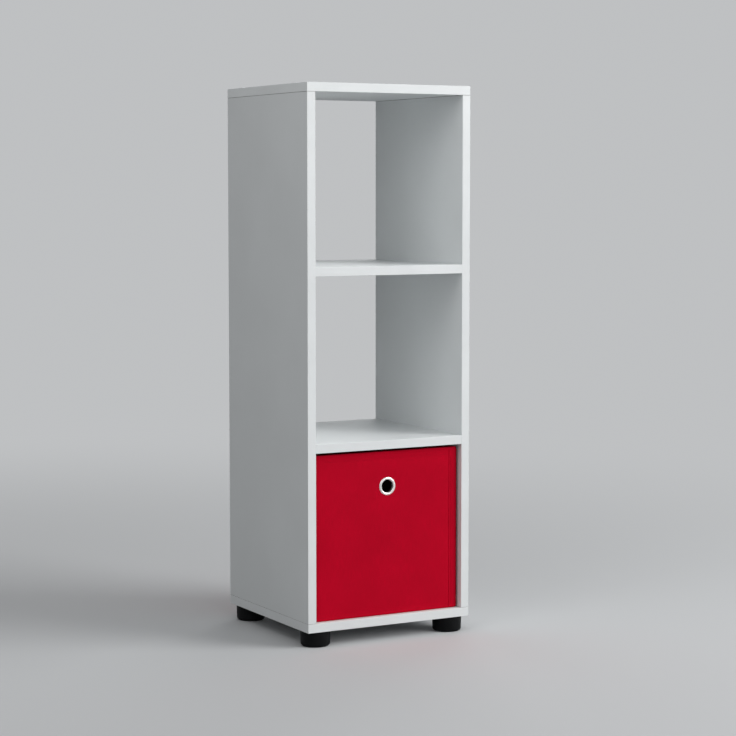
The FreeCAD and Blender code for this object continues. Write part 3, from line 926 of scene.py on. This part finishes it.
    def cover(self) -> Workpiece:
        """The outer cloth: four walls, a turned hem over the rim, and a rounded lower edge.

        Returns:
            The piece.
        """
        low = self.low + UP * self.base_round
        high = self.high - UP * self.rim_round
        piece = self.tube("box_cover_cloth", low, high, self.corner)
        rising = quarter_round(self.rim_round, self.rim_strips)
        falling = [(self.rim_width - inset, rise) for inset, rise in reversed([(0.0, 0.0), *rising])]
        hem = [(self.rim_width, self.rim_round - self.hem_depth * share) for share in self.hem_strips]
        base = [(inset, -rise) for inset, rise in quarter_round(self.base_round, self.base_strips)]
        with piece.editing():
            for edge, steps in ((high.z, rising + falling + hem), (low.z, base)):
                piece.pick(Part.EDGE, lambda start, end: max(abs(start.z - edge), abs(end.z - edge)) < TINY)
                self.turn_edge(steps)
            self.slice_seams(piece)
        return self.make_up(piece, self.settle)

    def turn_edge(self, steps: Sequence[Span]) -> None:
        """Carry a selected open edge on round the box, as a row of narrow strips.

        Args:
            steps: for each strip, the inset and the rise of its far edge from where the edge began.
        """
        inset, rise = 0.0, 0.0
        for next_inset, next_rise in steps:
            bpy.ops.mesh.extrude_region_move(TRANSFORM_OT_translate={"value": UP * (next_rise - rise)})
            shrink = [(size - next_inset) / (size - inset) for size in self.half.xy]
            bpy.ops.transform.resize(value=(*shrink, 1.0), center_override=self.middle)
            inset, rise = next_inset, next_rise

    def slice_seams(self, piece: Workpiece) -> None:
        """Cut the lines that the grooves and the flaps' edges need.

        Args:
            piece: the cover, in edit mode.
        """
        steps = [cut * self.groove_width for cut in self.groove_cuts]
        for height in (self.hem_line, self.base_line):
            for step in steps:
                piece.slice(UP, height + step)
        for side in (-1, 1):
            for step in steps:
                piece.slice(SIDEWAYS, side * (self.flap_x + self.upright_row) + step)
                piece.slice(BACKWARDS, self.middle.y + side * self.upright_row + step)
            for step in (-self.flap_step, self.flap_step):
                piece.slice(SIDEWAYS, side * self.flap_x + step)

    def settle(self, place: Vector, normal: Vector) -> Vector:
        """How the cover settles: it billows between the seams, dips along them and steps up at a flap.

        Args:
            place: a point of the cover.
            normal: its normal.

        Returns:
            Its move.
        """
        off = place - self.middle
        inside = all(abs(part) < half - self.rim_width / 2 for part, half in zip(off.xy, self.half.xy))
        if inside or abs(normal.z) > LYING:
            return Vector()
        outward = Vector((normal.x, normal.y, 0.0)).normalized()
        gap, groove = min((seam.gap(place), seam.groove) for seam in self.rows)
        across = min(half - self.corner - abs(part)
                     for part, half, way in zip(off.xy, self.half.xy, outward.xy)
                     if abs(way) < self.corner_turn)
        dip = groove * hump(gap, self.groove_width)
        return outward * (self.billow(place, outward, gap, across) - dip + self.lift(place))

    def billow(self, place: Vector, outward: Vector, gap: float, across: float) -> float:
        """How far the cover bows out, clear of its edges, seams and ring, and puckers beside a seam.

        Args:
            place: a point of the cover.
            outward: the way that it faces.
            gap: how far it is from a seam.
            across: how far it is from a corner.

        Returns:
            The distance.
        """
        edges = (across, place.z - self.low.z, self.high.z - place.z)
        free = math.prod(ease(edge / self.edge_reach) for edge in edges) * ease(gap / self.seam_reach)
        if outward.y < -SQUARE:
            free *= ease(((place - self.ring).xz.length - self.ring_radius) / self.ring_reach)
        slack = self.slack * (0.5 + 0.5 * noise.noise(place * self.slack_scale))
        along = place.dot(UP.cross(outward)) + place.z
        waver = self.waver * noise.noise(place * self.waver_scale)
        wave = math.sin(2 * math.pi * along / self.pucker_pitch + waver)
        beside = hump(gap - self.pucker_gap, self.pucker_width)
        beside *= ease(across / self.corner_reach + self.corner_share)
        return free * (self.bow + slack) + self.pucker * wave * beside

    def lift(self, place: Vector) -> float:
        """How far the cloth stands out where one end of it laps over the other, round a corner.

        Args:
            place: a point of the cover.

        Returns:
            The flap's thickness on its side of the step, easing off round the corner.
        """
        turned = -1.0 if place.y > self.middle.y else 1.0
        if turned * place.x < self.flap_x:
            return 0.0
        depth = turned * (place.y - self.middle.y) + self.half.y
        fade = 1.0 - ease((depth - self.corner) / self.edge_reach)
        return self.flap_lift * fade * ease((self.high.z - self.rim_round - place.z) / self.flap_ease)

    def lining(self) -> Workpiece:
        """The inner cloth: four walls that hang a little slack between the rim and the bottom."""
        piece = self.tube("box_lining_cloth", self.lining_low, self.lining_high, self.lining_corner)
        return self.make_up(piece, self.sag)

    def sag(self, place: Vector, normal: Vector) -> Vector:
        """How the lining sags inwards, clear of its ends, its folds and the ring.

        Args:
            place: a point of the lining.
            normal: its normal.

        Returns:
            Its move.
        """
        free = ease((place.z - self.lining_low.z) / self.sag_reach)
        free *= ease((self.lining_high.z - place.z) / self.sag_reach)
        free *= ease(((place - self.ring).length - self.sag_ring_gap) / self.sag_ring_reach)
        if abs(normal.x) > SQUARE:
            free *= ease(abs(place.y - self.middle.y) / self.sag_fold_reach)
        return -normal * self.slack * free * (1.0 + noise.noise(place * self.sag_scale))

    def bottom(self) -> Workpiece:
        """The cloth under the box, with softened edges where it is sewn to the walls.

        Returns:
            The piece.
        """
        low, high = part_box("box_bottom_cloth")
        gap = (SIDEWAYS + BACKWARDS) * (self.base_round - self.cloth + self.bottom_gap)
        piece = Workpiece.block("box_bottom_cloth_piece", low + gap, high - gap)
        with piece.editing():
            piece.pick(Part.EDGE, is_upright)
            bpy.ops.mesh.bevel(offset=self.corner, segments=self.corner_strips, affect="EDGES")
            piece.pick(Part.EDGE, lambda start, end: max(start.z, end.z) < low.z + TINY)
            bpy.ops.mesh.bevel(offset=self.bottom_edge, segments=self.bottom_strips, affect="EDGES")
            piece.pick(Part.FACE, lambda middle, normal: normal.z < 0
                       and (middle - self.middle).xy.length < MM)
            bpy.ops.mesh.inset(thickness=self.bottom_row, depth=0.0)
            for depth in (-self.groove, self.groove):
                bpy.ops.mesh.inset(thickness=self.groove_width / 2, depth=depth)
        piece.smooth()
        return piece

    def sew(self, thread: Material) -> list[bpy.types.Object]:
        """Sew the seams of the cover and, inside, those of the hem and the folds.

        Args:
            thread: the finish of the stitches.

        Returns:
            The stitches on the outside and on the inside.
        """
        outer, inner = [], []
        for seam in self.rows:
            upright = is_upright(seam.start, seam.end)
            folded = upright and seam.wall in (Wall.LEFT, Wall.RIGHT)
            lapped = upright and not folded
            outer.append((seam, self.flap_lift * lapped - self.sunk_share * seam.groove))
            if folded:
                inner.append((seam, -self.lining_inset - self.thread_clear))
            elif not lapped and seam.start.z > self.middle.z:
                inner.append((seam, -self.rim_width - self.thread_clear))
        sewn = [self.stitch.sew("box_cover_stitches", outer), self.stitch.sew("box_lining_stitches", inner)]
        for piece in sewn:
            piece.dress(thread, self.slot, self.body)
        return [piece.thing for piece in sewn]


@dataclass
class BoxInsert:
    """The loose floor of the box: a card board in a cloth cover that is turned under and glued."""

    cloth: float = 0.8 * MM
    edge_round: float = 1.5 * MM
    edge_strips: int = 3
    turn_under: float = 25.0 * MM
    cell: float = 6.0 * MM
    slack: float = 0.18 * MM
    slack_reach: float = 20.0 * MM
    slack_scale: float = 25.0
    boards: Names = ("insert_board",)
    card: Finish = GreyCard(dark=(0.24, 0.22, 0.19), light=(0.38, 0.36, 0.32))
    body: str = "box_insert"
    slot: str = "red_cloth"

    def __post_init__(self) -> None:
        """Read the insert's place from the frame."""
        self.low, self.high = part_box("insert_cover")

    def build(self, cloth: Material) -> None:
        """Make the cover and dress the board.

        Args:
            cloth: the finish of the cloth.
        """
        dress_nodes(self.boards, self.card)
        piece = Workpiece.block("insert_cover_cloth", self.low, self.high)
        with piece.editing():
            piece.pick(Part.FACE, lambda middle, normal: normal.z < -SQUARE)
            bpy.ops.mesh.inset(thickness=self.turn_under, depth=0.0)
            bpy.ops.mesh.delete(type="FACE")
            piece.pick(Part.EDGE, lambda start, end: max(self.inset(start), self.inset(end)) < TINY)
            bpy.ops.mesh.bevel(offset=self.edge_round, segments=self.edge_strips, affect="EDGES")
            for axis, way in enumerate((SIDEWAYS, BACKWARDS)):
                size = self.high[axis] - self.low[axis]
                count = round(size / self.cell)
                for step in range(1, count):
                    piece.slice(way, self.low[axis] + size * step / count)
        piece.press(self.settle, self.cloth)
        piece.smooth()
        piece.dress(cloth, self.slot, self.body)
        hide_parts("insert_cover")
        width, depth, height = (high - low for low, high in zip(self.low, self.high))
        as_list(self.boards)

    def inset(self, place: Vector) -> float:
        """How far a point is inside the insert's border."""
        return min(min(place.xy - self.low.xy), min(self.high.xy - place.xy))

    def settle(self, place: Vector, normal: Vector) -> Vector:
        """How the cover settles on the board, on its top alone.

        Args:
            place: a point of the cover.
            normal: its normal.

        Returns:
            Its move.
        """
        if normal.z < SQUARE:
            return Vector()
        sunk = self.slack * ease(self.inset(place) / self.slack_reach)
        return -UP * sunk * (1.0 + noise.noise(place * self.slack_scale))


@dataclass(frozen=True)
class SoftLamp:
    """A broad round lamp, aimed at the middle of the cabinet."""

    name: str
    power: float
    azimuth: float
    height: float
    width: float
    distance: float
    aim: float = 0.46

    def place(self) -> None:
        """Hang the lamp."""
        lamp = bpy.data.lights.new(self.name, "AREA")
        lamp.shape = "DISK"
        lamp.size = self.width
        lamp.energy = self.power
        hung = bpy.data.objects.new(self.name, lamp)
        turn = Euler((math.radians(90.0 - self.height), 0.0, math.radians(self.azimuth)))
        hung.rotation_euler = turn
        hung.location = UP * self.aim + turn.to_matrix() @ UP * self.distance
        bpy.context.scene.collection.objects.link(hung)


@dataclass
class Studio:
    """A plain pale floor, soft light and the camera."""

    lens: float = 103.222
    sensor: float = 36.0
    eye: tuple[float, float, float] = (-1.72428, -3.17676, 0.75201)
    turn: float = 29.0548
    tilt: float = 4.8325
    backdrop: Colour = (0.52, 0.53, 0.54)
    floor_colour: Colour = (0.63, 0.64, 0.65)
    floor_bounce: Colour = (0.36, 0.365, 0.37)
    floor_roughness: float = 0.9
    floor_size: float = 60.0
    fade: Span = (0.8, 3.0)
    room_front: Colour = (0.58, 0.586, 0.59)
    room_rear: Colour = (0.06, 0.062, 0.065)
    room_turn: Span = (-0.3, 0.4)
    lamps: tuple[SoftLamp, ...] = (
        SoftLamp("front_lamp", power=115.0, azimuth=44.0, height=22.0, width=2.7, distance=4.2),
        SoftLamp("side_lamp", power=3.1, azimuth=-57.0, height=39.0, width=0.8, distance=1.55),
        SoftLamp("rear_lamp", power=60.0, azimuth=140.0, height=24.0, width=3.2, distance=5.0))

    def build(self) -> None:
        """Set up the floor, the light and the camera."""
        bpy.context.scene.view_settings.view_transform = "Standard"
        self.lay_floor()
        for lamp in self.lamps:
            lamp.place()
        self.light_room()
        self.place_camera()

    def lay_floor(self) -> None:
        """A wide pale floor that fades into the backdrop, without a horizon."""
        bpy.ops.mesh.primitive_plane_add(size=self.floor_size, location=(0.0, 0.0, 0.0))
        floor = bpy.context.object
        floor.name = "studio_floor"
        plain = {"Roughness": self.floor_roughness, "Specular IOR Level": 0.0}
        paint = FinishNodes("studio_floor_paint", plain)
        seen = paint.seen()
        paint.wire(paint.shader, {"Base Color": paint.mix(seen, self.floor_bounce, self.floor_colour)})
        reach = paint.add("VectorMath", {0: paint.own["Object"]}, operation="LENGTH").outputs["Value"]
        far = paint.reckon("MULTIPLY", paint.spread(reach, self.fade, curve="SMOOTHSTEP"), seen)
        near = paint.shader.outputs["BSDF"]
        backdrop = paint.add("Emission", {"Color": self.backdrop}).outputs["Emission"]
        above = paint.add("MixShader", {0: far, 1: near, 2: backdrop}).outputs["Shader"]
        behind = paint.add("NewGeometry", {}).outputs["Backfacing"]
        clear = paint.add("BsdfTransparent", {}).outputs["BSDF"]
        both = paint.add("MixShader", {0: behind, 1: above, 2: clear}).outputs["Shader"]
        paint.wire(paint.nodes["Material Output"], {"Surface": both})
        floor.data.materials.append(paint.material)

    def light_room(self) -> None:
        """A pale room round the lamps, darker behind, with the backdrop to look at."""
        world = bpy.data.worlds.new("studio_room")
        world.use_nodes = True
        bpy.context.scene.world = world
        board = NodeBoard(world.node_tree)
        way = board.add("TexCoord", {}).outputs["Generated"]
        rearward = board.add("SeparateXYZ", {"Vector": way}).outputs["Y"]
        walls = board.mix(board.spread(rearward, self.room_turn), self.room_front, self.room_rear)
        room = board.nodes["Background"]
        board.wire(room, {"Color": walls})
        backdrop = board.add("Background", {"Color": self.backdrop})
        lights, looks = (node.outputs["Background"] for node in (room, backdrop))
        both = board.add("MixShader", {0: board.seen(), 1: lights, 2: looks}).outputs["Shader"]
        board.wire(board.nodes["World Output"], {"Surface": both})

    def place_camera(self) -> None:
        """The camera at the photograph's viewing angle."""
        eye = bpy.data.cameras.new("camera")
        eye.lens = self.lens
        eye.sensor_width = self.sensor
        camera = bpy.data.objects.new("camera", eye)
        camera.location = self.eye
        camera.rotation_euler = (math.radians(90.0 - self.tilt), 0.0, -math.radians(self.turn))
        bpy.context.scene.collection.objects.link(camera)
        bpy.context.scene.camera = camera


def main() -> None:
    """Build and dress the cabinet, piece by piece."""
    logging.basicConfig(level=logging.INFO, format="%(name)s: %(message)s")
    Studio().build()
    Carcass().dress()
    cloth = WovenCloth().make()
    thread = SewingThread().make()
    StorageBox().build(cloth, thread)
    BoxInsert().build(cloth)


if __name__ == "__main__":
    main()
